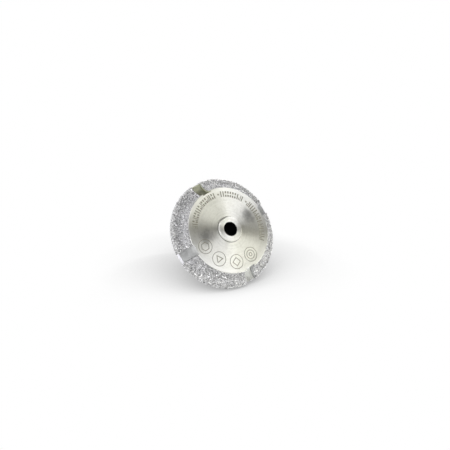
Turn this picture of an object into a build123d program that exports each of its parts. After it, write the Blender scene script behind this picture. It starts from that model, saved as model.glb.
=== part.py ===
"""Vacuum-brazed diamond profile wheel, 50 mm, with an M14 hub.

The wheel spins about the Y axis. Its front face looks along -Y, +Z is up, and the
origin is the centre of the hub's rear seat, the face that meets the grinder's flange.
Millimetres throughout.
"""
from build123d import *
import os
from math import cos, radians, sin

os.makedirs("parts", exist_ok=True)

# ---- Driving dimensions -------------------------------------------------------------
WHEEL_R = 25.0  # outer radius, over the diamond tips
FACE_R = 19.5  # edge of the turned front face
COVE_R = 4.6  # radius of the concave profile, over the diamond tips
LAND_WIDTH = 3.0  # full-diameter band behind the cove
LIP_WIDTH = 0.3  # uncoated steel lip between the cove and the face
EDGE_BREAK = 0.25  # chamfer on the face edge
CONE_R = 16.2  # the face is a shallow cone inside this radius and flat outside it
CONE_RISE = 0.9  # how far the cone rises to the nose

NOSE_R = 5.65  # hub nose that shows in the middle of the face
NOSE_PROUD = 0.9  # how far the nose stands out of the cone
NOSE_BREAK = 0.4  # chamfer round the nose
NOSE_BORE_R = 3.2  # hole through the nose
BORE_BREAK = 0.12  # chamfer at the hole's mouth
SPIGOT_R = 8.0  # part of the hub that is pressed into the wheel
SPIGOT_LENGTH = 6.0
COLLAR_R = 12.0  # hub outside the wheel
COLLAR_LENGTH = 20.0
SEAT_BREAK = 0.5  # chamfer round the seat
THREAD_R = 7.0  # M14, as a plain wall at its major radius
THREAD_DEPTH = 15.0
THREAD_MOUTH = 0.7  # lead-in chamfer of the thread
DRILL_POINT = 2.0  # length of the cone at the bottom of the thread
HEX_SPAN = 22.0  # across the wrench flats
HEX_START = 6.5  # first edge of the flats, forward of the seat
HEX_WIDTH = 9.0

DISH_R = (14.0, 21.5)  # inner and outer radius of the recess in the rear face
DISH_DEPTH = 1.2
FILLET_LEG = 0.8  # braze fillet where the collar meets the wheel

COAT = 0.45  # steel to diamond tips
BRAZE = 0.15  # nickel braze that holds the grains
SLOTS = 4
SLOT_WIDTH = 4.7
SLOT_CLOCKING = 16.0  # first slot, from +X towards +Z
SLOT_LAND_DEPTH = 0.5  # diamond tips to slot floor, on the land
SLOT_COVE_DEPTH = 0.85  # the same at the shoulder and the lip
SLOT_COVE_R = 4.5  # radius of the slot floor between them

GRAIN_R = 0.26  # a grain's girth, about 35/40 mesh
GRAIN_TAPER = 24.0
GRAIN_PITCH = 1.5  # between the grains that stand for the full coat
GRAIN_LIFT = 0.006  # keeps a flat grain base clear of the hollow cove
GOLDEN_ANGLE = 137.5  # turns each grain differently from the one before it

# ---- Places that follow from them ---------------------------------------------------
rear_y = -COLLAR_LENGTH
crest_y = rear_y - LAND_WIDTH
cove_r = FACE_R + COVE_R  # the cove's centre runs round the wheel at this radius
cove_y = crest_y - COVE_R  # and at this Y, which is also the rear of the lip
face_y = cove_y - LIP_WIDTH
cone_y = face_y - CONE_RISE
nose_y = cone_y - NOSE_PROUD
shoulder_y = rear_y - SPIGOT_LENGTH


def rim_outline(land_depth, cove_depth, arc_r):
    """Land, shoulder and cove, from the rear edge to the lip. The land and the cove lie
    this deep under the diamond tips, and an arc of this radius joins shoulder to lip."""
    land_r = WHEEL_R - land_depth
    root_r = FACE_R - cove_depth
    step_y = crest_y + cove_depth
    Polyline((land_r, rear_y), (land_r, step_y), (root_r + arc_r, step_y))
    JernArc(start=(root_r + arc_r, step_y), tangent=(-1, 0), radius=arc_r, arc_size=90)
    if step_y - arc_r > cove_y:
        Line((root_r, step_y - arc_r), (root_r, cove_y))


# ---- Cutter for the slots: four bars, kept only outside the slots' floor ------------
with BuildPart() as outside_floor:
    with BuildSketch(Plane.XY):
        with BuildLine():
            rim_outline(SLOT_LAND_DEPTH, SLOT_COVE_DEPTH, SLOT_COVE_R)
            Polyline(
                (FACE_R - SLOT_COVE_DEPTH, cove_y),
                (FACE_R - SLOT_COVE_DEPTH, cone_y),
                (WHEEL_R + COAT, cone_y),
                (WHEEL_R + COAT, rear_y),
                (WHEEL_R - SLOT_LAND_DEPTH, rear_y),
            )
        make_face()
    revolve(axis=Axis.Y)

with BuildPart() as slot_cutter:
    with BuildSketch(Plane.XZ):
        with PolarLocations(WHEEL_R / 2, SLOTS, start_angle=SLOT_CLOCKING):
            Rectangle(WHEEL_R, SLOT_WIDTH, align=(Align.MIN, Align.CENTER))
    extrude(amount=-nose_y)
    add(outside_floor.part, mode=Mode.INTERSECT)

# ---- Wheel body: turned steel blank -------------------------------------------------
with BuildPart() as wheel_body:
    with BuildSketch(Plane.XY):
        with BuildLine():
            rim_outline(COAT, COAT, COVE_R + COAT)
            Polyline(
                (FACE_R - COAT, cove_y),
                (FACE_R, cove_y),
                (FACE_R, face_y + EDGE_BREAK),
                (FACE_R - EDGE_BREAK, face_y),
                (CONE_R, face_y),
                (NOSE_R, cone_y),
                (NOSE_R, shoulder_y),
                (SPIGOT_R, shoulder_y),
                (SPIGOT_R, rear_y),
                (DISH_R[0], rear_y),
                (DISH_R[0] + DISH_DEPTH / 2, rear_y - DISH_DEPTH),
                (DISH_R[1] - DISH_DEPTH / 2, rear_y - DISH_DEPTH),
                (DISH_R[1], rear_y),
                (WHEEL_R - COAT, rear_y),
            )
        make_face()
    revolve(axis=Axis.Y)
    dish_corners = wheel_body.edges().filter_by(GeomType.CIRCLE).group_by(Axis.Y)[-2]
    fillet(dish_corners, radius=DISH_DEPTH / 3)
    add(slot_cutter.part, mode=Mode.SUBTRACT)

wheel_body.part.label = "wheel_body"
export_step(wheel_body.part, "parts/wheel_body.step")

# ---- Threaded hub: pressed in from behind, its nose shows in the face ---------------
with BuildPart() as threaded_hub:
    with BuildSketch(Plane.XY):
        with BuildLine():
            Polyline(
                (THREAD_R + THREAD_MOUTH, 0),
                (COLLAR_R - SEAT_BREAK, 0),
                (COLLAR_R, -SEAT_BREAK),
                (COLLAR_R, rear_y),
                (SPIGOT_R, rear_y),
                (SPIGOT_R, shoulder_y),
                (NOSE_R, shoulder_y),
                (NOSE_R, nose_y + NOSE_BREAK),
                (NOSE_R - NOSE_BREAK, nose_y),
                (NOSE_BORE_R + BORE_BREAK, nose_y),
                (NOSE_BORE_R, nose_y + BORE_BREAK),
                (NOSE_BORE_R, -THREAD_DEPTH - DRILL_POINT),
                (THREAD_R, -THREAD_DEPTH),
                (THREAD_R, -THREAD_MOUTH),
                close=True,
            )
        make_face()
    revolve(axis=Axis.Y)
    with BuildSketch(Plane.XZ.offset(HEX_START)):
        Circle(COLLAR_R + SEAT_BREAK)
        RegularPolygon(HEX_SPAN / 2, 6, major_radius=False, mode=Mode.SUBTRACT)
    extrude(amount=HEX_WIDTH, mode=Mode.SUBTRACT)

threaded_hub.part.label = "threaded_hub"
export_step(threaded_hub.part, "parts/threaded_hub.step")

# ---- Braze fillet that locks the hub to the wheel's rear face -----------------------
with BuildPart() as hub_braze_fillet:
    with BuildSketch(Plane.XY):
        with BuildLine():
            Polyline(
                (COLLAR_R, rear_y + FILLET_LEG),
                (COLLAR_R, rear_y),
                (COLLAR_R + FILLET_LEG, rear_y),
            )
            RadiusArc(
                (COLLAR_R + FILLET_LEG, rear_y),
                (COLLAR_R, rear_y + FILLET_LEG),
                FILLET_LEG,
            )
        make_face()
    revolve(axis=Axis.Y)

hub_braze_fillet.part.label = "hub_braze_fillet"
export_step(hub_braze_fillet.part, "parts/hub_braze_fillet.step")

# ---- Abrasive coat: a braze layer and its diamonds on each quarter of the rim -------
quarter = 360 / SLOTS
grain_height = COAT - BRAZE


def section_plane(angle):
    """The plane through the spin axis at this angle, from +X towards +Z."""
    return Plane.XY.rotated((0, -angle, 0))


def grain_rows():
    """Rows round the rim: each one's radius, its Y, and the coat's outward direction."""
    land_steps = int(LAND_WIDTH / GRAIN_PITCH)
    for row in range(land_steps + 1):
        inset = GRAIN_R + (LAND_WIDTH - 2 * GRAIN_R) * row / land_steps
        yield WHEEL_R - grain_height, rear_y - inset, (1, 0)
    surface_r = COVE_R + grain_height
    cove_rows = int(radians(90) * surface_r / GRAIN_PITCH)
    for row in range(cove_rows):
        turn = radians(90) * (row + 0.5) / cove_rows
        outward = (cos(turn), -sin(turn))
        yield cove_r - surface_r * outward[0], cove_y - surface_r * outward[1], outward


def grain_seats(first_slot):
    """A place for each grain of the quarter that begins at the slot at this angle."""
    for row, (row_r, row_y, outward) in enumerate(grain_rows()):
        pitch = GRAIN_PITCH / row_r
        margin = (SLOT_WIDTH / 2 + 2 * GRAIN_R) / row_r
        length = radians(quarter) - 2 * margin - pitch / 2
        start = radians(first_slot) + margin + pitch / 2 * (row % 2)
        steps = int(length / pitch)
        for step in range(steps + 1):
            angle = start + length * step / steps
            seat = Plane(
                origin=(row_r * cos(angle), row_y, row_r * sin(angle)),
                z_dir=(outward[0] * cos(angle), outward[1], outward[0] * sin(angle)),
            )
            yield seat.location * Rotation(0, 0, GOLDEN_ANGLE * step)


with BuildPart() as grain:
    with BuildSketch(Plane.XY.offset(GRAIN_LIFT)):
        RegularPolygon(GRAIN_R, 6)
    extrude(amount=grain_height - GRAIN_LIFT, taper=GRAIN_TAPER)

for number in range(1, SLOTS + 1):
    first_slot = SLOT_CLOCKING + (number - 1) * quarter

    with BuildPart() as braze_layer:
        with BuildSketch(section_plane(first_slot + quarter)):
            with BuildLine():
                rim_outline(COAT, COAT, COVE_R + COAT)
                rim_outline(grain_height, grain_height, COVE_R + grain_height)
                Line((WHEEL_R - COAT, rear_y), (WHEEL_R - grain_height, rear_y))
                Line((FACE_R - COAT, cove_y), (FACE_R - grain_height, cove_y))
            make_face()
        revolve(axis=Axis.Y, revolution_arc=quarter)
        add(slot_cutter.part, mode=Mode.SUBTRACT)
    braze_layer.part.label = f"braze_layer_{number}"
    export_step(braze_layer.part, f"parts/braze_layer_{number}.step")

    with BuildPart() as diamond_grit:
        with Locations(*grain_seats(first_slot)):
            add(grain.part)
    diamond_grit.part.label = f"diamond_grit_{number}"
    grit_file = f"parts/diamond_grit_{number}.step"
    export_step(diamond_grit.part, grit_file, write_pcurves=False)
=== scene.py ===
"""Looks of the diamond profile wheel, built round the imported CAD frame. Metres.

The wheel's axis is Y and its front face looks along -Y. It lies on the rear edge of its
rim and of its hub, so the floor is a plane that leans to the frame.
"""
import math
import random
import bmesh
import bpy
from mathutils import Matrix, Vector


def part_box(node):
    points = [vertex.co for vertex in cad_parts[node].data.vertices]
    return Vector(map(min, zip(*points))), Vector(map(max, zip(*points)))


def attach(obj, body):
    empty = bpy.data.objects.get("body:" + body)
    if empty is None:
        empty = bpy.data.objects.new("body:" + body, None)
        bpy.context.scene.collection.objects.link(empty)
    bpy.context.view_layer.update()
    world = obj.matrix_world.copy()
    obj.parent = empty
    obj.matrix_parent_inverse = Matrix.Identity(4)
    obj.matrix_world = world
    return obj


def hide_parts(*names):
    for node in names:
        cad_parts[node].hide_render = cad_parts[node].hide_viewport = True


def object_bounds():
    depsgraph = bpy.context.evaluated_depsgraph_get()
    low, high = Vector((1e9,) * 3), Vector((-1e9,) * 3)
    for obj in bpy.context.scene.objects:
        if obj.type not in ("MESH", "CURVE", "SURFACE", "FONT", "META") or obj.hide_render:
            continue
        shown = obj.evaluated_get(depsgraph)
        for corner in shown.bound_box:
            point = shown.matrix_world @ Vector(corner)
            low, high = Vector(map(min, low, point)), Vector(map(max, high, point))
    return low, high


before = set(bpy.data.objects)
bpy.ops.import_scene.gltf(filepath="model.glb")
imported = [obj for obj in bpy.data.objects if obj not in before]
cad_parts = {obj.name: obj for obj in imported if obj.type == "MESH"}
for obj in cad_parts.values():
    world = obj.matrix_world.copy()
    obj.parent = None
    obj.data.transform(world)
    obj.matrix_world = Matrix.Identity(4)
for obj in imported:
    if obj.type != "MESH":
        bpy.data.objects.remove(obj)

cad_low, cad_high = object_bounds()
MM = 0.001

# ---- Sizes read from the frame -------------------------------------------------------
QUARTERS = sorted(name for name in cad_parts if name.startswith("diamond_grit"))
rim_r = cad_high.x
rear_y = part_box("wheel_body")[1].y
hub_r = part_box("threaded_hub")[1].x

# ---- Sizes that repeat the CAD model's ------------------------------------------------
FACE_R = 19.5 * MM
COVE_R = 4.6 * MM
LAND_WIDTH = 3.0 * MM
LIP_WIDTH = 0.3 * MM
CONE_R = 16.2 * MM
CONE_RISE = 0.9 * MM
NOSE_R = 5.65 * MM
NOSE_BORE_R = 3.2 * MM
DISH_R = 21.5 * MM
DISH_DEPTH = 1.2 * MM
THREAD_R = 7.0 * MM
THREAD_DEPTH = 15.0 * MM
THREAD_MOUTH = 0.7 * MM
SLOT_WIDTH = 4.7 * MM
SLOT_CLOCKING = math.radians(16)
SLOT_LAND_DEPTH = 0.5 * MM
COAT = 0.45 * MM
BRAZE = 0.15 * MM
cove_r = FACE_R + COVE_R
cove_y = rear_y - LAND_WIDTH - COVE_R
face_y = cove_y - LIP_WIDTH
QUARTER_TURN = math.pi / 2

# ---- Camera ---------------------------------------------------------------------------
TILT = math.radians(30.0)  # between the line of sight and the wheel's axis
AXIS_TURN = math.radians(29.0)  # the axis in the picture, anticlockwise from the right
LENS, SENSOR = 85.0, 36.0
CLIP_START = 0.01
PICTURE_WIDTH = 200.4 * MM  # what the picture spans at the wheel
FRAMING = (1.1 * MM, 3.7 * MM)  # how far right of and above the rim the camera aims

lean = math.atan2(rim_r - hub_r, -rear_y)  # the axis over the floor, as the wheel lies
# Seen from the camera, the axis points right, up and towards it; the floor's normal has
# no sideways part, and makes the angle with the axis that the lean asks for.
axis_seen = Vector((
    math.sin(TILT) * math.cos(AXIS_TURN),
    math.sin(TILT) * math.sin(AXIS_TURN),
    math.cos(TILT),
))
swing = math.hypot(axis_seen.y, axis_seen.z)
camera_elevation = math.atan2(axis_seen.z, axis_seen.y) - math.acos(math.sin(lean) / swing)
normal_seen = Vector((0, math.cos(camera_elevation), math.sin(camera_elevation)))
up_seen = (normal_seen - normal_seen.dot(axis_seen) * axis_seen).normalized()
right_seen = (-axis_seen).cross(up_seen)
SEEN = Matrix((right_seen, -axis_seen, up_seen))  # from the camera's axes to the frame's
FLOOR_NORMAL = SEEN @ normal_seen


def add_object(name, data):
    """A new object in the scene."""
    made = bpy.data.objects.new(name, data)
    bpy.context.scene.collection.objects.link(made)
    return made


def make_camera():
    data = bpy.data.cameras.new("camera")
    data.lens = LENS
    data.sensor_width = SENSOR
    data.clip_start = CLIP_START
    camera = add_object("camera", data)
    bpy.context.scene.camera = camera
    rim_middle = Vector((0, rear_y - LAND_WIDTH / 2, 0))
    distance = PICTURE_WIDTH * LENS / SENSOR
    place = rim_middle + SEEN @ Vector((*FRAMING, distance))
    camera.matrix_world = Matrix.Translation(place) @ SEEN.to_4x4()


# ---- Node helpers ---------------------------------------------------------------------
class Nodes:
    """Short calls for building one node tree."""

    def __init__(self, tree):
        self.tree = tree
        tree.nodes.clear()

    def add(self, kind, **values):
        node = self.tree.nodes.new(kind)
        for name, value in values.items():
            setattr(node, name, value)
        return node

    def put(self, value, socket):
        """Links value if it is a socket, or else sets it."""
        if isinstance(value, bpy.types.NodeSocket):
            self.tree.links.new(value, socket)
        else:
            socket.default_value = value

    def math(self, operation, a, b=0.0):
        node = self.add("ShaderNodeMath", operation=operation)
        self.put(a, node.inputs[0])
        self.put(b, node.inputs[1])
        return node.outputs[0]

    def linear(self, value, slope, start):
        """The straight line start + slope * value."""
        return self.math("ADD", self.math("MULTIPLY", value, slope), start)

    def vector(self, operation, a, b, output="Vector"):
        node = self.add("ShaderNodeVectorMath", operation=operation)
        self.put(a, node.inputs[0])
        self.put(b, node.inputs[1])
        return node.outputs[output]

    def scaled(self, vector, factor):
        node = self.add("ShaderNodeVectorMath", operation="SCALE")
        self.put(vector, node.inputs[0])
        self.put(factor, node.inputs["Scale"])
        return node.outputs["Vector"]

    def noise(self, scale, vector, detail=2.0, roughness=0.5):
        node = self.add("ShaderNodeTexNoise")
        self.put(scale, node.inputs["Scale"])
        self.put(detail, node.inputs["Detail"])
        self.put(roughness, node.inputs["Roughness"])
        self.put(vector, node.inputs["Vector"])
        return node.outputs["Fac"]

    def fade(self, value, start, end, height=1.0):
        """A soft step, from 0 where value is start to height where it is end."""
        node = self.add("ShaderNodeMapRange", interpolation_type="SMOOTHSTEP")
        self.put(value, node.inputs["Value"])
        self.put(start, node.inputs["From Min"])
        self.put(end, node.inputs["From Max"])
        self.put(height, node.inputs["To Max"])
        return node.outputs[0]

    def mix(self, factor, a, b):
        node = self.add("ShaderNodeMix", data_type="RGBA")
        first, second = (socket for socket in node.inputs if socket.type == "RGBA")
        self.put(factor, node.inputs["Factor"])
        self.put(a, first)
        self.put(b, second)
        return next(socket for socket in node.outputs if socket.type == "RGBA")

    def ramp(self, value, stops):
        node = self.add("ShaderNodeValToRGB")
        points = node.color_ramp.elements
        while len(points) < len(stops):
            points.new(0.5)
        for point, (place, shade) in zip(points, stops):
            point.position = place
            point.color = (*shade, 1)
        self.put(value, node.inputs["Fac"])
        return node.outputs["Color"]

    def bump(self, height, strength, distance):
        node = self.add("ShaderNodeBump")
        self.put(height, node.inputs["Height"])
        self.put(strength, node.inputs["Strength"])
        self.put(distance, node.inputs["Distance"])
        return node.outputs["Normal"]


class Material(Nodes):
    """A new material with one Principled shader. place is the object coordinates."""

    def __init__(self, name):
        self.made = bpy.data.materials.new(name)
        self.made.use_nodes = True
        super().__init__(self.made.node_tree)
        self.shader = self.add("ShaderNodeBsdfPrincipled")
        output = self.add("ShaderNodeOutputMaterial")
        self.put(self.shader.outputs[0], output.inputs["Surface"])
        self.place = self.add("ShaderNodeTexCoord").outputs["Object"]

    def shade(self, socket, value):
        self.put(value, self.shader.inputs[socket])


# ---- Materials ------------------------------------------------------------------------
# Noise scales are cells to the metre.
CLOUD_SCALE = 160.0  # broad clouds in the steel's tone
PASS_SCALE = 0.22  # the lathe's passes, in cells to a groove
MOTTLE_SCALE = 1000.0  # fine dull specks on the steel
STAIN_SCALE = 420.0  # furnace stains and the ragged edges of the painted dark patches
LUMP_SCALE = 1400.0  # lumps of the braze
PIT_SCALE = 9000.0  # pits in a grain
ETCH_SCALE = 2500.0  # broken tone of the etching
JOINT_SHADE_SCALE = 1800.0  # broken tone of the painted shade in the joint line
# How much of the steel's tone comes from its grooves, passes and clouds.
GROOVE_SHARE, PASS_SHARE, CLOUD_SHARE = 0.35, 0.40, 0.25
TURNED_TINT = ((0.64, 0.64, 0.58), (0.77, 0.77, 0.70))  # darkest and lightest
EDGE_SHEEN_COLOUR = (0.77, 0.77, 0.71, 1)
EDGE_SHEEN_BAND = (FACE_R - 2.6 * MM, FACE_R - 1.0 * MM)  # where a lighter band is painted at the face's edge, as painted sheen
EDGE_SHEEN_SHARE = 0.7
HUB_TINT = ((0.65, 0.65, 0.60), (0.77, 0.77, 0.71))
BORE_SHADE_COLOUR = (0.0015, 0.0015, 0.0018, 1)
# Clearances that keep a mask from ending just on an edge.
RIM_MARGIN = 0.05 * MM
DISH_SIDE_MARGIN, DISH_DEPTH_MARGIN = 0.5 * MM, 0.3 * MM
LAND_MARGIN = 0.2 * MM
BORE_MARGIN = 0.02 * MM
# Two dark patches painted into the steel's colour on the face, where the lamps alone leave it
# too bright: right and up from the axis, reach, and darkness.
FACE_DARK_PATCHES = [
    (-12.0 * MM, -0.8 * MM, 5.0 * MM, 0.52),
    (11.4 * MM, 4.4 * MM, 4.8 * MM, 0.58),
]
DARK_PATCH_CORE = 0.1  # the share of a dark patch's reach where it is darkest
# The furnace has left the slots olive on the side of the second one.
tarnish_angle = SLOT_CLOCKING + QUARTER_TURN
TARNISHED = (math.cos(tarnish_angle), 0.0, math.sin(tarnish_angle))
TARNISH_BAND = (8.0 * MM, 18.0 * MM)
TARNISH_TINT = (1.0, 1.0, 0.82)


class TurnedSteel(Material):
    """Steel turned on a lathe, with its colour and roughness left to be finished. The
    grooves run round the axis, so a highlight spreads along the radius."""

    def __init__(self, name, tint, roughness, anisotropy, groove, groove_depth):
        super().__init__(name)
        parts = self.add("ShaderNodeSeparateXYZ")
        self.put(self.place, parts.inputs[0])
        x, self.depth, z = parts.outputs
        squares = self.math("ADD", self.math("MULTIPLY", x, x), self.math("MULTIPLY", z, z))
        self.radius = self.math("SQRT", squares)

        section = self.add("ShaderNodeCombineXYZ")
        self.put(self.math("MULTIPLY", self.radius, 1 / groove), section.inputs["X"])
        self.put(self.math("MULTIPLY", self.depth, 1 / groove), section.inputs["Y"])
        section = section.outputs[0]
        grooves = self.noise(1.0, section, detail=3.0, roughness=0.7)
        clouds = self.noise(CLOUD_SCALE, self.place, detail=4.0)
        passes = self.noise(PASS_SCALE, section, detail=2.0)
        clouds = self.math("MULTIPLY", clouds, CLOUD_SHARE)
        broad = self.math("ADD", self.math("MULTIPLY", passes, PASS_SHARE), clouds)
        level = self.math("ADD", self.math("MULTIPLY", grooves, GROOVE_SHARE), broad)
        tone = self.ramp(level, [(0.35, tint[0]), (0.65, tint[1])])
        mottle = self.noise(MOTTLE_SCALE, self.place, detail=8.0, roughness=0.8)
        dull = self.ramp(mottle, [(0.38, (0.88, 0.875, 0.855)), (0.54, (1.0, 1.0, 1.0))])
        self.colour = self.vector("MULTIPLY", tone, dull)
        self.rough = self.linear(grooves, 0.10, roughness - 0.05)

        self.shade("Metallic", 1.0)
        self.shade("Anisotropic", anisotropy)
        self.shade("Anisotropic Rotation", 0.25)
        tangent = self.add("ShaderNodeTangent", direction_type="RADIAL", axis="Y")
        self.shade("Tangent", tangent.outputs[0])
        self.shade("Normal", self.bump(grooves, 0.5, groove_depth))


def wheel_steel():
    """The blank: bright where it is turned, dull and stained by the furnace in the slots, with
    painted darkening and painted sheen on the face and a painted highlight on the slots' land.
    """
    steel = TurnedSteel(
        "turned_steel", TURNED_TINT,
        roughness=0.42, anisotropy=1.0, groove=0.12 * MM, groove_depth=0.004 * MM,
    )
    stains = steel.noise(STAIN_SCALE, steel.place, detail=4.0, roughness=0.6)
    # Painted darkening: two patches of the face's colour made darker than the lamps leave
    # them.
    for x, z, reach, strength in FACE_DARK_PATCHES:
        away = steel.vector("DISTANCE", steel.place, (x, face_y, z), output="Value")
        ragged = steel.math("MULTIPLY", steel.math("SUBTRACT", stains, 0.5), reach)
        ragged = steel.math("ADD", away, ragged)
        dark_patch = steel.fade(ragged, reach, DARK_PATCH_CORE * reach, strength)
        steel.colour = steel.scaled(steel.colour, steel.math("SUBTRACT", 1.0, dark_patch))
    # A lighter band painted near the face's edge: painted sheen.
    edge_sheen = steel.fade(steel.radius, *EDGE_SHEEN_BAND, EDGE_SHEEN_SHARE)
    turned = steel.mix(edge_sheen, steel.colour, EDGE_SHEEN_COLOUR)

    slot = slot_mask(steel)
    steel.shade("Base Color", steel.mix(slot, turned, slot_floor(steel, stains)))
    dull = steel.linear(stains, 0.1, 0.58)
    extra = steel.math("MULTIPLY", slot, steel.math("SUBTRACT", dull, steel.rough))
    steel.shade("Roughness", steel.math("ADD", steel.rough, extra))
    return steel.made


def slot_mask(steel):
    """1 on the rim's profile, where the steel shows only in the slots, or else 0."""
    before_rear = steel.math("LESS_THAN", steel.depth, rear_y - RIM_MARGIN)
    behind_lip = steel.math("GREATER_THAN", steel.depth, cove_y - RIM_MARGIN)
    outside_dish = steel.math("GREATER_THAN", steel.radius, DISH_R + DISH_SIDE_MARGIN)
    dish_end = rear_y - DISH_DEPTH - DISH_DEPTH_MARGIN
    before_dish = steel.math("LESS_THAN", steel.depth, dish_end)
    clear_of_dish = steel.math("MAXIMUM", outside_dish, before_dish)
    along_rim = steel.math("MULTIPLY", before_rear, behind_lip)
    return steel.math("MULTIPLY", along_rim, clear_of_dish)


def slot_floor(steel, stains):
    """Furnace-stained in the cove, and painted light on the land as a painted highlight."""
    furnace = steel.ramp(stains, [(0.32, (0.49, 0.495, 0.47)), (0.68, (0.68, 0.69, 0.66))])
    towards = steel.vector("DOT_PRODUCT", steel.place, TARNISHED, output="Value")
    olive = steel.vector("MULTIPLY", furnace, TARNISH_TINT)
    furnace = steel.mix(steel.fade(towards, *TARNISH_BAND), furnace, olive)
    # The land's light colour is a painted highlight.
    land_highlight = steel.ramp(stains, [(0.32, (0.78, 0.78, 0.79)), (0.68, (0.90, 0.90, 0.91))])
    land_start = rim_r - SLOT_LAND_DEPTH - LAND_MARGIN
    on_land = steel.math("GREATER_THAN", steel.radius, land_start)
    return steel.mix(on_land, furnace, land_highlight)


def hub_finish():
    """The hub: satin turning marks, and a bore painted nearly black as painted shade."""
    steel = TurnedSteel(
        "hub_steel", HUB_TINT,
        roughness=0.46, anisotropy=0.9, groove=0.20 * MM, groove_depth=0.006 * MM,
    )
    in_bore = steel.math("LESS_THAN", steel.radius, NOSE_BORE_R + BORE_MARGIN)
    # The bore is painted nearly black: painted shade in the hole.
    steel.shade("Base Color", steel.mix(in_bore, steel.colour, BORE_SHADE_COLOUR))
    matt = steel.math("MULTIPLY", in_bore, 0.9)
    steel.shade("Roughness", steel.math("MAXIMUM", steel.rough, matt))
    return steel.made


def nickel_braze():
    """Furnace braze: grey, matt and a little lumpy."""
    braze = Material("nickel_braze")
    lumps = braze.noise(LUMP_SCALE, braze.place, detail=4.0, roughness=0.6)
    tone = braze.ramp(lumps, [(0.3, (0.22, 0.22, 0.215)), (0.7, (0.50, 0.50, 0.49))])
    braze.shade("Base Color", tone)
    braze.shade("Metallic", 0.9)
    braze.shade("Roughness", braze.linear(lumps, 0.2, 0.45))
    braze.shade("Normal", braze.bump(lumps, 0.9, 0.15 * MM))
    return braze.made


def diamond():
    """Grains wetted with braze: each has its own shade of silver grey."""
    grain = Material("diamond")
    shade = grain.add("ShaderNodeAttribute", attribute_name="grain_shade")
    tone = grain.ramp(shade.outputs["Fac"], [
        (0.0, (0.20, 0.20, 0.20)),
        (0.18, (0.54, 0.54, 0.525)),
        (0.45, (0.79, 0.79, 0.77)),
        (1.0, (0.90, 0.90, 0.885)),
    ])
    pits = grain.noise(PIT_SCALE, grain.place)
    worn = grain.ramp(pits, [(0.3, (0.78, 0.78, 0.78)), (0.6, (1.0, 1.0, 1.0))])
    grain.shade("Base Color", grain.vector("MULTIPLY", tone, worn))
    grain.shade("Metallic", 0.8)
    grain.shade("Roughness", grain.linear(pits, 0.2, 0.24))
    grain.shade("Normal", grain.bump(pits, 0.3, 0.02 * MM))
    return grain.made


def etched():
    """Laser marking: dull olive brown, with soft broken tone."""
    mark = Material("etched_mark")
    clouds = mark.noise(ETCH_SCALE, mark.place, detail=3.0)
    tone = mark.ramp(clouds, [(0.3, (0.17, 0.165, 0.125)), (0.75, (0.35, 0.34, 0.28))])
    mark.shade("Base Color", tone)
    mark.shade("Metallic", 0.7)
    mark.shade("Roughness", mark.linear(clouds, 0.15, 0.52))
    mark.shade("Normal", mark.bump(clouds, 0.3, 0.01 * MM))
    return mark.made


def joint_shade_line():
    """The fine seam where the nose is pressed in, drawn nearly black as painted shade."""
    joint = Material("joint_shade_line")
    broken_tone = joint.noise(JOINT_SHADE_SCALE, joint.place, detail=3.0)
    tone = joint.ramp(broken_tone, [(0.35, (0.05, 0.05, 0.04)), (0.7, (0.20, 0.20, 0.17))])
    joint.shade("Base Color", tone)
    joint.shade("Roughness", joint.linear(broken_tone, 0.3, 0.5))
    joint.shade("Normal", joint.bump(broken_tone, 0.4, 0.02 * MM))
    return joint.made


# ---- Pieces ---------------------------------------------------------------------------
def make_piece(name, points, polygons, finish):
    """A piece that rides on the wheel, from a mesh of these points and polygons."""
    mesh = bpy.data.meshes.new(name)
    mesh.from_pydata(points, [], polygons)
    mesh.materials.append(finish)
    piece = add_object(name, mesh)
    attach(piece, "root")
    return piece


def face_outwards(mesh):
    """Turns the faces of the mesh's closed shells outwards."""
    shells = bmesh.new()
    shells.from_mesh(mesh)
    bmesh.ops.recalc_face_normals(shells, faces=shells.faces)
    shells.to_mesh(mesh)
    shells.free()


# ---- Diamond grains -------------------------------------------------------------------
GRAIN_R = 0.29 * MM
GRAIN_SIZES = (0.66, 1.22)  # the smallest and the largest, as shares of GRAIN_R
GRAIN_PITCH = 0.60 * MM
ROW_PITCH = 0.52 * MM
STRAY = 0.3  # how far a grain strays from its place, as a share of the pitch
SUNK, PROUD = -0.35, 0.2  # from the braze's surface to a grain's centre, in grain radii
MISSING = 0.09  # the share of places where no grain sits
SLOT_MARGIN = 0.9 * GRAIN_R  # from a slot's edge to the nearest grain's centre
SHAPES = 24
SQUEEZE = (0.75, 1.2)  # how much a crystal is squeezed or stretched along each axis
CUT = (0.85, 1.1)  # how much each of its corners is cut back or stands out
# Blocky diamond is a cuboctahedron: 12 corners, 8 triangles and 6 squares.
CRYSTAL_CORNERS = [
    (1, 1, 0), (1, -1, 0), (-1, 1, 0), (-1, -1, 0),
    (1, 0, 1), (1, 0, -1), (-1, 0, 1), (-1, 0, -1),
    (0, 1, 1), (0, 1, -1), (0, -1, 1), (0, -1, -1),
]
CRYSTAL_FACES = [
    (0, 4, 8), (0, 9, 5), (1, 10, 4), (1, 5, 11),
    (2, 8, 6), (2, 7, 9), (3, 6, 10), (3, 11, 7),
    (0, 5, 1, 4), (2, 6, 3, 7), (0, 8, 2, 9),
    (1, 11, 3, 10), (4, 10, 6, 8), (5, 9, 7, 11),
]


def crystal_shapes(rng):
    """The corners of some crystals, each squeezed and cut a little."""
    shapes = []
    for _ in range(SHAPES):
        squeeze = Vector([rng.uniform(*SQUEEZE) for _ in range(3)])
        corners = [Vector(corner) * squeeze / math.sqrt(2) for corner in CRYSTAL_CORNERS]
        shapes.append([corner * rng.uniform(*CUT) for corner in corners])
    return shapes


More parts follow.
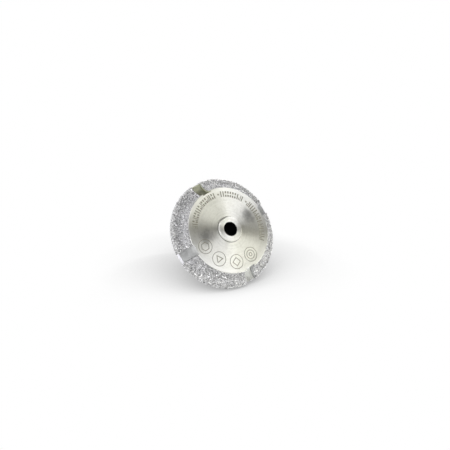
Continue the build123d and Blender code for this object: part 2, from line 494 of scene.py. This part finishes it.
def coat_rows():
    """Rows of grains round the rim: radius, Y and outward direction of each."""
    land_r = rim_r - COAT + BRAZE
    rows = round(LAND_WIDTH / ROW_PITCH)
    for row in range(rows):
        yield land_r, rear_y - LAND_WIDTH * (row + 0.5) / rows, (1, 0)
    shoulder_y = rear_y - LAND_WIDTH + COAT - BRAZE
    rows = round((rim_r - cove_r) / ROW_PITCH)
    for row in range(rows):
        yield land_r - (land_r - cove_r) * (row + 0.5) / rows, shoulder_y, (0, -1)
    surface = COVE_R + COAT - BRAZE
    rows = round(QUARTER_TURN * surface / ROW_PITCH)
    for row in range(rows):
        turn = QUARTER_TURN * (row + 0.5) / rows
        outward = (math.cos(turn), -math.sin(turn))
        yield cove_r - surface * outward[0], cove_y - surface * outward[1], outward


def grain_seats(first_slot, rng):
    """A seat and the outward direction there, for each grain of one quarter of the rim."""
    for row, (row_r, row_y, outward) in enumerate(coat_rows()):
        margin = (SLOT_WIDTH / 2 + SLOT_MARGIN) / row_r
        count = int((QUARTER_TURN * row_r - SLOT_WIDTH - 2 * GRAIN_R) / GRAIN_PITCH)
        start = first_slot + margin
        length = QUARTER_TURN - 2 * margin
        for step in range(count + 1):
            angle = start + length * (step + 0.5 * (row % 2)) / count
            angle += rng.uniform(-STRAY, STRAY) * GRAIN_PITCH / row_r
            angle = min(max(angle, start), start + length)
            along = rng.uniform(-STRAY, STRAY) * GRAIN_PITCH
            across, up = math.cos(angle), math.sin(angle)
            out = Vector((outward[0] * across, outward[1], outward[0] * up))
            side = Vector((-outward[1] * across, outward[0], -outward[1] * up))
            seat = Vector((row_r * across, row_y, row_r * up)) + side * along
            if rng.random() >= MISSING:
                yield seat, out


def make_grit(node, first_slot, rng, shapes, finish):
    """All the grains of one quarter of the rim, as one mesh of separate crystals."""
    points, polygons, shades = [], [], []
    for seat, out in grain_seats(first_slot, rng):
        size = GRAIN_R * rng.uniform(*GRAIN_SIZES)
        centre = seat + out * rng.uniform(SUNK, PROUD) * size
        turn = Matrix.Identity(3)
        for axis in "XZY":
            turn = Matrix.Rotation(rng.uniform(0, math.tau), 3, axis) @ turn
        first = len(points)
        points += [centre + turn @ (corner * size) for corner in rng.choice(shapes)]
        polygons += [tuple(first + i for i in face) for face in CRYSTAL_FACES]
        shades += [rng.random()] * len(CRYSTAL_FACES)
    grit = make_piece(node + "_grains", points, polygons, finish)
    shade = grit.data.attributes.new("grain_shade", "FLOAT", "FACE")
    shade.data.foreach_set("value", shades)
    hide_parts(node)


# ---- Marks on the face ----------------------------------------------------------------
# Places and widths on the face are in millimetres, and angles in degrees, from the right
# and up as the face is seen.
MARK_LIFT = 0.02 * MM
MARK_SINK = 0.03 * MM
BAR_PARTS = 6  # a bar is cut along its length, so that it follows the cone
ROUND_CORNERS = 36  # corners of a figure that reads as a circle
DOT_CORNERS = 12

BAND_R = (15.1, 17.7)  # inner and outer radius of the etched band
BAND_START, BAND_END = -26.0, 164.0
BAND_DOTS = (40.5, 90.5)
BAND_PITCH = 4.1
DOT_CLEARANCE = 1.1 * BAND_PITCH
DOT_R, DOT_WIDTH = 0.42, 0.34
TALL_WIDTH, PAIR_WIDTH, SPLIT_WIDTH = 0.5, 0.36, 0.7
PAIR_TURN = 0.022  # radians from the middle of a pair to each of its bars
SPLIT_GAP = 0.3  # half the gap in a split bar

BADGE_R = 14.5
BADGE_RING_R, BADGE_RING_WIDTH = 3.3, 0.3
FIGURE_R, FIGURE_WIDTH = 2.1, 0.36
INNER_RING_R = 0.95
BADGES = ((199.5, 6), (232.5, 3), (266.5, 4), (298.5, ROUND_CORNERS))  # angle, corners

JOINT_WIDTH = 0.24
JOINT_CORNERS = 72


def face_depth(radius):
    """Y of the turned face at this radius: a shallow cone inside a flat ring."""
    return face_y - CONE_RISE * max(0.0, CONE_R - radius) / (CONE_R - NOSE_R)


def on_circle(radius, angle):
    """Right and up of the point at this radius and this angle in radians."""
    return radius * math.cos(angle), radius * math.sin(angle)


class Marks:
    """Thin slabs that follow the turned face. Each is a strip between two lines of
    points, given as millimetres to the right and up as the face is seen."""

    def __init__(self):
        self.points, self.polygons = [], []

    def strip(self, left, right, ring=False):
        first = len(self.points)
        for pair in zip(left, right):
            for x, z in pair:
                radius = math.hypot(x, z) * MM
                for depth in (-MARK_LIFT, MARK_SINK):
                    self.points.append((x * MM, face_depth(radius) + depth, z * MM))
        count = len(left)
        for i in range(count if ring else count - 1):
            here, there = first + 4 * i, first + 4 * ((i + 1) % count)
            for a, b in ((0, 2), (2, 3), (3, 1), (1, 0)):
                self.polygons.append((here + a, here + b, there + b, there + a))
        if not ring:
            last = first + 4 * (count - 1)
            self.polygons.append((first, first + 1, first + 3, first + 2))
            self.polygons.append((last, last + 2, last + 3, last + 1))

    def bar(self, angle, low_r, high_r, width):
        """A short radial bar."""
        right, up = on_circle(width / 2, angle + QUARTER_TURN)
        radii = [low_r + (high_r - low_r) * i / BAR_PARTS for i in range(BAR_PARTS + 1)]
        middle = [on_circle(radius, angle) for radius in radii]
        self.strip(
            [(x - right, z - up) for x, z in middle],
            [(x + right, z + up) for x, z in middle],
        )

    def outline(self, centre, radius, corners, width, turn=0.0):
        """A regular figure drawn as a line of this width; many corners make a ring."""
        inner_r = radius - width / math.cos(math.pi / corners)
        parts = max(1, ROUND_CORNERS // corners)
        inner, outer = [], []
        for corner in range(corners):
            a, b = (turn + math.tau * (corner + i) / corners for i in (0, 1))
            for part in range(parts):
                share = part / parts
                x = math.cos(a) * (1 - share) + math.cos(b) * share
                z = math.sin(a) * (1 - share) + math.sin(b) * share
                inner.append((centre[0] + x * inner_r, centre[1] + z * inner_r))
                outer.append((centre[0] + x * radius, centre[1] + z * radius))
        self.strip(inner, outer, ring=True)

    def make(self, name, finish):
        piece = make_piece(name, self.points, self.polygons, finish)
        face_outwards(piece.data)


def make_band(rng, finish):
    """A band of plain index marks round half of the face, in place of lettering."""
    band = Marks()
    low, high = BAND_R
    middle = (low + high) / 2
    steps = int((BAND_END - BAND_START) / BAND_PITCH)
    for step in range(steps + 1):
        place = BAND_START + (BAND_END - BAND_START) * step / steps
        if min(abs(place - dot) for dot in BAND_DOTS) < DOT_CLEARANCE:
            continue
        angle = math.radians(place)
        kind = rng.choice(["tall", "pair", "split"])
        if kind == "tall":
            band.bar(angle, low, high, TALL_WIDTH)
        elif kind == "pair":
            band.bar(angle - PAIR_TURN, low, high, PAIR_WIDTH)
            band.bar(angle + PAIR_TURN, low, middle, PAIR_WIDTH)
        else:
            band.bar(angle, low, middle - SPLIT_GAP, SPLIT_WIDTH)
            band.bar(angle, middle + SPLIT_GAP, high, SPLIT_WIDTH)
    for dot in BAND_DOTS:
        band.outline(on_circle(middle, math.radians(dot)), DOT_R, DOT_CORNERS, DOT_WIDTH)
    band.make("etched_band", finish)


def make_badges(finish):
    """Four ringed figures, in place of pictograms."""
    for number, (place, corners) in enumerate(BADGES, 1):
        angle = math.radians(place)
        centre = on_circle(BADGE_R, angle)
        badge = Marks()
        badge.outline(centre, BADGE_RING_R, ROUND_CORNERS, BADGE_RING_WIDTH)
        badge.outline(centre, FIGURE_R, corners, FIGURE_WIDTH, turn=angle)
        if corners == ROUND_CORNERS:
            badge.outline(centre, INNER_RING_R, DOT_CORNERS, FIGURE_WIDTH)
        badge.make(f"etched_badge_{number}", finish)


def make_joint_line(finish):
    """A fine dark ring at the foot of the nose: painted shade on the seam."""
    ring = Marks()
    ring.outline((0, 0), NOSE_R / MM + JOINT_WIDTH, JOINT_CORNERS, JOINT_WIDTH)
    ring.make("nose_joint_line", finish)


# ---- Thread ---------------------------------------------------------------------------
THREAD_PITCH = 2.0 * MM
THREAD_CREST_R = 5.92 * MM
THREAD_OVERLAP = 0.02 * MM  # how far the ridge's foot reaches into the wall
THREAD_END = 0.9 * MM  # from the lead-in and from the thread's bottom to the ridge's ends
ROOT_HALF, CREST_HALF = 0.875 * MM, 0.22 * MM  # half widths of the ridge
SECTIONS = 40  # per turn
FADING_SECTIONS = 0.6 * SECTIONS  # over which the ridge rises to its full height
FIRST_SECTION = 0.4  # keeps the ridge's ends from shrinking to a point


def make_thread(finish):
    """The M14 thread's ridge, inside the hub's plain thread hole. It fades at both ends."""
    start_y, end_y = -THREAD_MOUTH - THREAD_END, -THREAD_DEPTH + THREAD_END
    count = int((start_y - end_y) / THREAD_PITCH * SECTIONS)
    root_r = THREAD_R + THREAD_OVERLAP
    points, polygons = [], []
    for i in range(count + 1):
        angle = math.tau * i / SECTIONS
        middle = start_y + (end_y - start_y) * i / count
        fade = min(1.0, (min(i, count - i) + FIRST_SECTION) / FADING_SECTIONS)
        crest_r = root_r + (THREAD_CREST_R - root_r) * fade
        for radius, side in (
            (root_r, -ROOT_HALF),
            (crest_r, -CREST_HALF),
            (crest_r, CREST_HALF),
            (root_r, ROOT_HALF),
        ):
            x, z = on_circle(radius, angle)
            points.append((x, middle + side * fade, z))
    for i in range(count):
        here, there = 4 * i, 4 * i + 4
        for a, b in ((0, 1), (1, 2), (2, 3), (3, 0)):
            polygons.append((here + a, here + b, there + b, there + a))
    polygons.append((0, 3, 2, 1))
    polygons.append(tuple(4 * count + i for i in range(4)))
    ridge = make_piece("thread_ridge", points, polygons, finish)
    face_outwards(ridge.data)


# ---- Stage ----------------------------------------------------------------------------
FLOOR_HALF = 2.5
SHADOW_REACH = 45 * MM
SHADOW_LEAN = 0.95  # how far back from the camera the floor's shadow falls
SHADOW_SAMPLES = 16
BACKDROP = (1.05, 1.05, 1.05, 1)  # the world as the camera sees it
BASE_LIGHT = 0.02
NEUTRAL, WARM, COOL = (1.0, 1.0, 1.0), (1.0, 0.98, 0.88), (0.99, 0.985, 1.06)
# Soft studio lights: the direction as the camera sees it, the half angles within which a
# light is full and beyond which it is gone, its strength and its tint.
LIGHTS = [
    ((0.9, -0.3, 0.2), 12, 36, 5.5, NEUTRAL),  # key light, low on the right
    ((0.6, 0.8, -0.2), 5, 20, 5.0, COOL),  # narrow window, high behind on the right
    ((-0.3, 0.8, 0.4), 12, 36, 1.2, NEUTRAL),  # above
    ((-0.8, 0.6, 0.2), 12, 36, 2.2, COOL),  # high on the left
    ((-0.7, -0.2, 0.7), 12, 36, 3.0, COOL),  # left of the camera
    ((0.2, -0.4, 0.9), 12, 36, 2.5, COOL),  # below the camera
    ((0.7, 0.1, 0.7), 5, 20, 2.5, COOL),  # right of the camera
    ((1.0, 0.0, 0.2), 12, 36, 1.5, WARM),  # the right wall
    ((0.0, 0.3, -1.0), 40, 80, 0.6, NEUTRAL),  # broad fill from behind
]


def floor_white():
    """White that darkens softly where the object hides the sky, and is clear from below."""
    made = bpy.data.materials.new("floor_white")
    made.use_nodes = True
    nodes = Nodes(made.node_tree)
    towards_camera = SEEN @ Vector((0, 0, 1))
    front = towards_camera - towards_camera.dot(FLOOR_NORMAL) * FLOOR_NORMAL
    facing = (FLOOR_NORMAL + SHADOW_LEAN * front.normalized()).normalized()
    leaning = nodes.add("ShaderNodeCombineXYZ")
    for part, socket in zip(facing, leaning.inputs):
        nodes.put(part, socket)
    open_sky = nodes.add("ShaderNodeAmbientOcclusion", samples=SHADOW_SAMPLES)
    nodes.put(SHADOW_REACH, open_sky.inputs["Distance"])
    nodes.put(leaning.outputs[0], open_sky.inputs["Normal"])
    pale = nodes.add("ShaderNodeEmission")
    nodes.put(open_sky.outputs["AO"], pale.inputs["Color"])

    clear = nodes.add("ShaderNodeBsdfTransparent")
    side = nodes.add("ShaderNodeNewGeometry")
    mix = nodes.add("ShaderNodeMixShader")
    output = nodes.add("ShaderNodeOutputMaterial")
    nodes.put(side.outputs["Backfacing"], mix.inputs[0])
    nodes.put(pale.outputs[0], mix.inputs[1])
    nodes.put(clear.outputs[0], mix.inputs[2])
    nodes.put(mix.outputs[0], output.inputs["Surface"])
    return made


def make_floor():
    """A pale plane through the rear edges of the rim and the hub."""
    touch = Vector((0, rear_y, -rim_r))
    across = Vector((FLOOR_HALF, 0, 0))
    along = FLOOR_NORMAL.cross(across)
    corners = [touch + across * i + along * j for i, j in ((-1, -1), (1, -1), (1, 1), (-1, 1))]
    mesh = bpy.data.meshes.new("floor")
    mesh.from_pydata(corners, [], [(0, 1, 2, 3)])
    mesh.materials.append(floor_white())
    add_object("floor", mesh)


def make_world():
    """Studio light from all round: a dim tent with soft lights in it."""
    world = bpy.data.worlds.new("studio")
    world.use_nodes = True
    bpy.context.scene.world = world
    nodes = Nodes(world.node_tree)
    direction = nodes.add("ShaderNodeTexCoord").outputs["Generated"]
    light = (BASE_LIGHT,) * 3
    for seen, inner, outer, strength, tint in LIGHTS:
        towards = SEEN @ Vector(seen).normalized()
        facing = nodes.vector("DOT_PRODUCT", direction, towards, output="Value")
        dark, full = (math.cos(math.radians(angle)) for angle in (outer, inner))
        patch = nodes.scaled(Vector(tint) * strength, nodes.fade(facing, dark, full))
        light = nodes.vector("ADD", light, patch)
    shown = nodes.add("ShaderNodeLightPath").outputs["Is Camera Ray"]
    back = nodes.add("ShaderNodeBackground")
    nodes.put(nodes.mix(shown, light, BACKDROP), back.inputs["Color"])
    output = nodes.add("ShaderNodeOutputWorld")
    nodes.put(back.outputs[0], output.inputs["Surface"])


# ---- The scene ------------------------------------------------------------------------
make_camera()
make_world()
make_floor()

hub_steel = hub_finish()
finishes = {"wheel_body": wheel_steel(), "threaded_hub": hub_steel}
braze = nickel_braze()
for name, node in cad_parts.items():
    node.data.materials.clear()
    node.data.materials.append(finishes.get(name, braze))

rng = random.Random(7)
grain_shapes = crystal_shapes(rng)
grain_finish = diamond()
for quarter, node in enumerate(QUARTERS):
    first_slot = SLOT_CLOCKING + quarter * QUARTER_TURN
    make_grit(node, first_slot, rng, grain_shapes, grain_finish)

etching = etched()
make_band(rng, etching)
make_badges(etching)
make_joint_line(joint_shade_line())
make_thread(hub_steel)

bpy.context.scene.view_settings.view_transform = "Standard"
